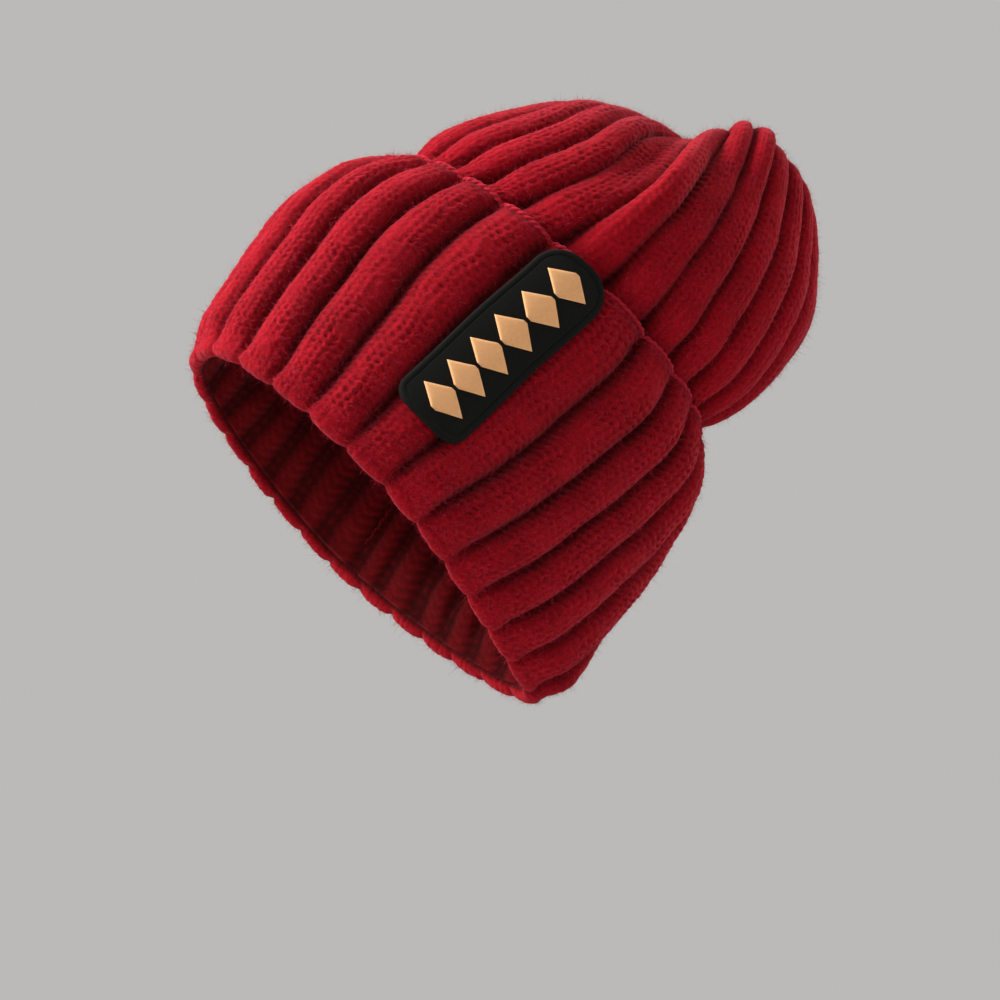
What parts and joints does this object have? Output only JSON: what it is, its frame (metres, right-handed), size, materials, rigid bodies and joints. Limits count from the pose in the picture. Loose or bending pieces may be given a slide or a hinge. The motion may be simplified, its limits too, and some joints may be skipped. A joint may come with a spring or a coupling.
{
  "type": "knit beanie",
  "caption": "Chunky rib-knit wool beanie with a turned-up cuff, a slouching gathered crown and a sewn-on embroidered label patch on the cuff.",
  "frame": {"origin": "the middle of the head opening, level with the lowest part of the rim", "axes": "+Z from the head opening to the crown, -Y to the front where the label is, +X to the wearer's left"},
  "size_m": [0.177, 0.1058, 0.194],
  "materials": {
    "body_knit": "brushed wool rib knit",
    "cuff_knit": "brushed wool rib knit",
    "edge_knit": "cast-on stitches in wool yarn",
    "gather_yarn": "wool yarn",
    "seam_yarn": "linked seam in wool yarn",
    "label_twill": "matte twill weave",
    "label_overlock": "overlock thread",
    "motif_thread": "satin-stitch embroidery thread"
  },
  "bodies": {
    "root": {"crown_body": "body_knit", "cuff": "cuff_knit", "cast_on_edge": "edge_knit", "gather_yarn": "gather_yarn", "back_seam": "seam_yarn", "label_patch": "label_twill", "label_border": "label_overlock", "label_motif_1": "motif_thread", "label_motif_2": "motif_thread", "label_motif_3": "motif_thread", "label_motif_4": "motif_thread", "label_motif_5": "motif_thread", "label_motif_6": "motif_thread"}
  },
  "joints": []
}
